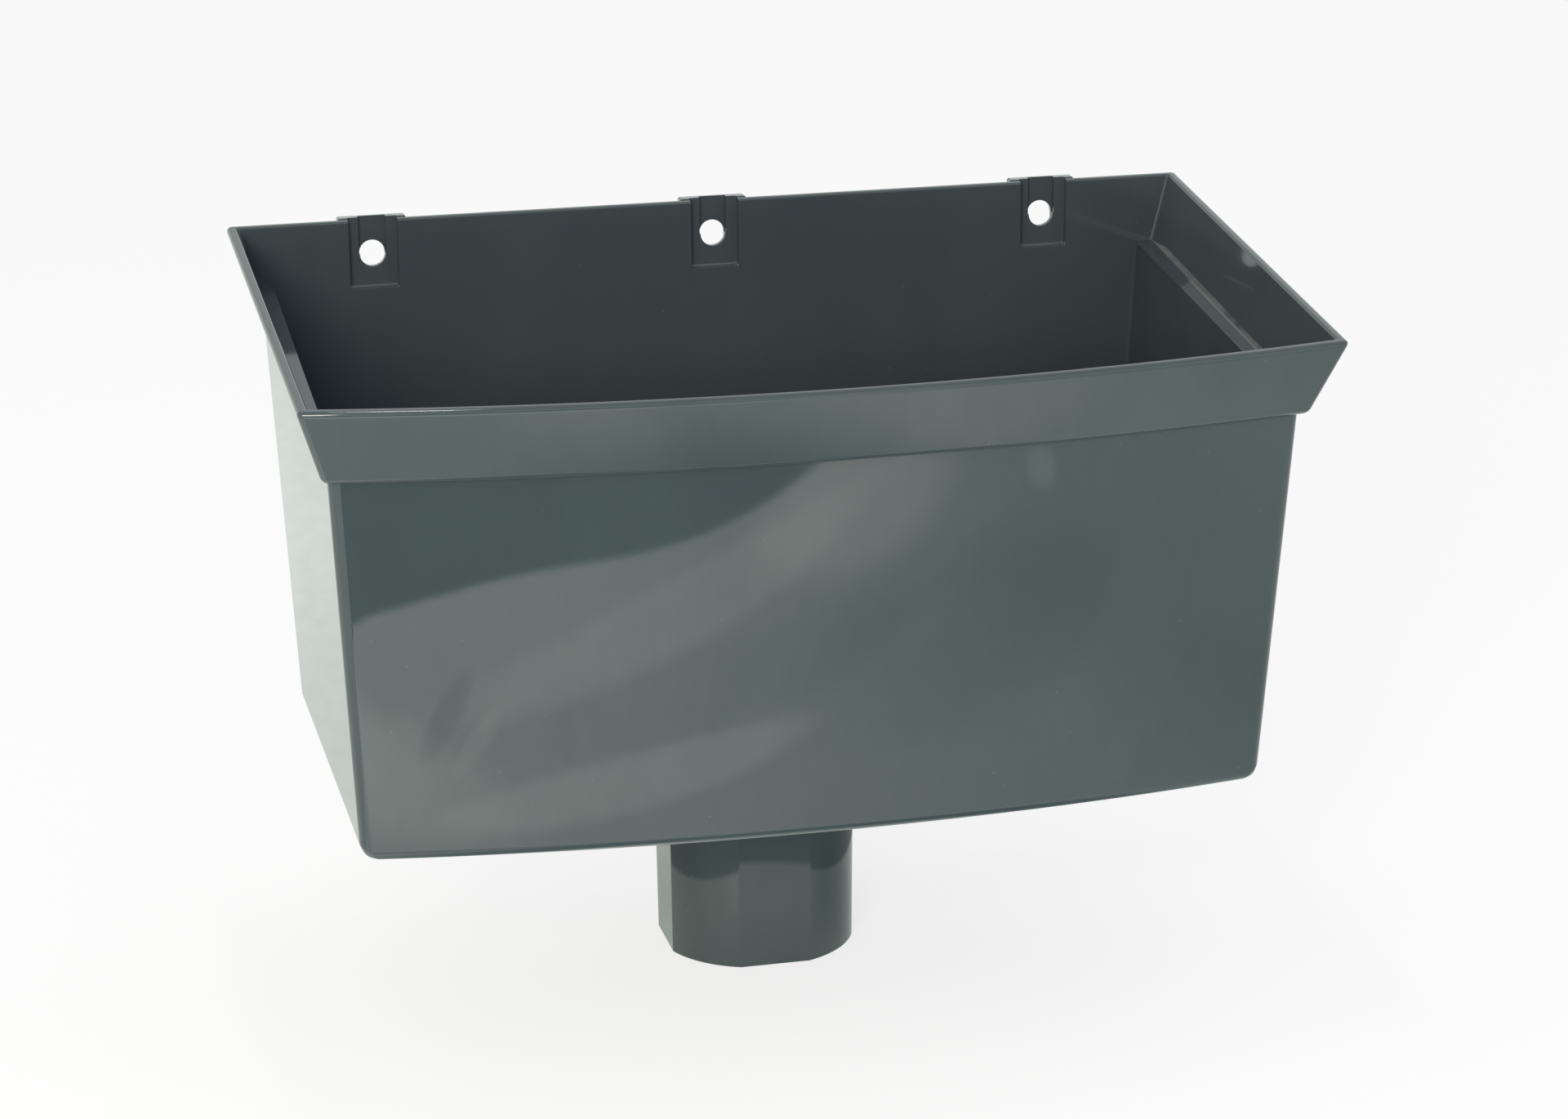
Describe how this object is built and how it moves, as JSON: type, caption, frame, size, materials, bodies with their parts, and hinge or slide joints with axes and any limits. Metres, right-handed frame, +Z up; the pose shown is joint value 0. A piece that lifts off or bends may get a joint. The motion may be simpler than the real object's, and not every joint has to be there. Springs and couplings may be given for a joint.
{
  "type": "downpipe hopper head",
  "caption": "Rainwater hopper head: an open tapered box with a bowed front, a flared rim that falls to the front, wall lugs along the back edge and a drop outlet for a downpipe.",
  "frame": {"origin": "on the wall plane, in the middle of the flat rear face of the centre lug, 22 mm below the top edge of the back wall", "axes": "+Z up, +Y into the wall behind the object, -Y towards its bowed front, +X to the right as seen from the wall's free side"},
  "size_m": [0.3298, 0.1921, 0.2475],
  "materials": {
    "body": "glossy moulded anthracite grey"
  },
  "bodies": {
    "root": {"hopper_head": "body"}
  },
  "joints": []
}
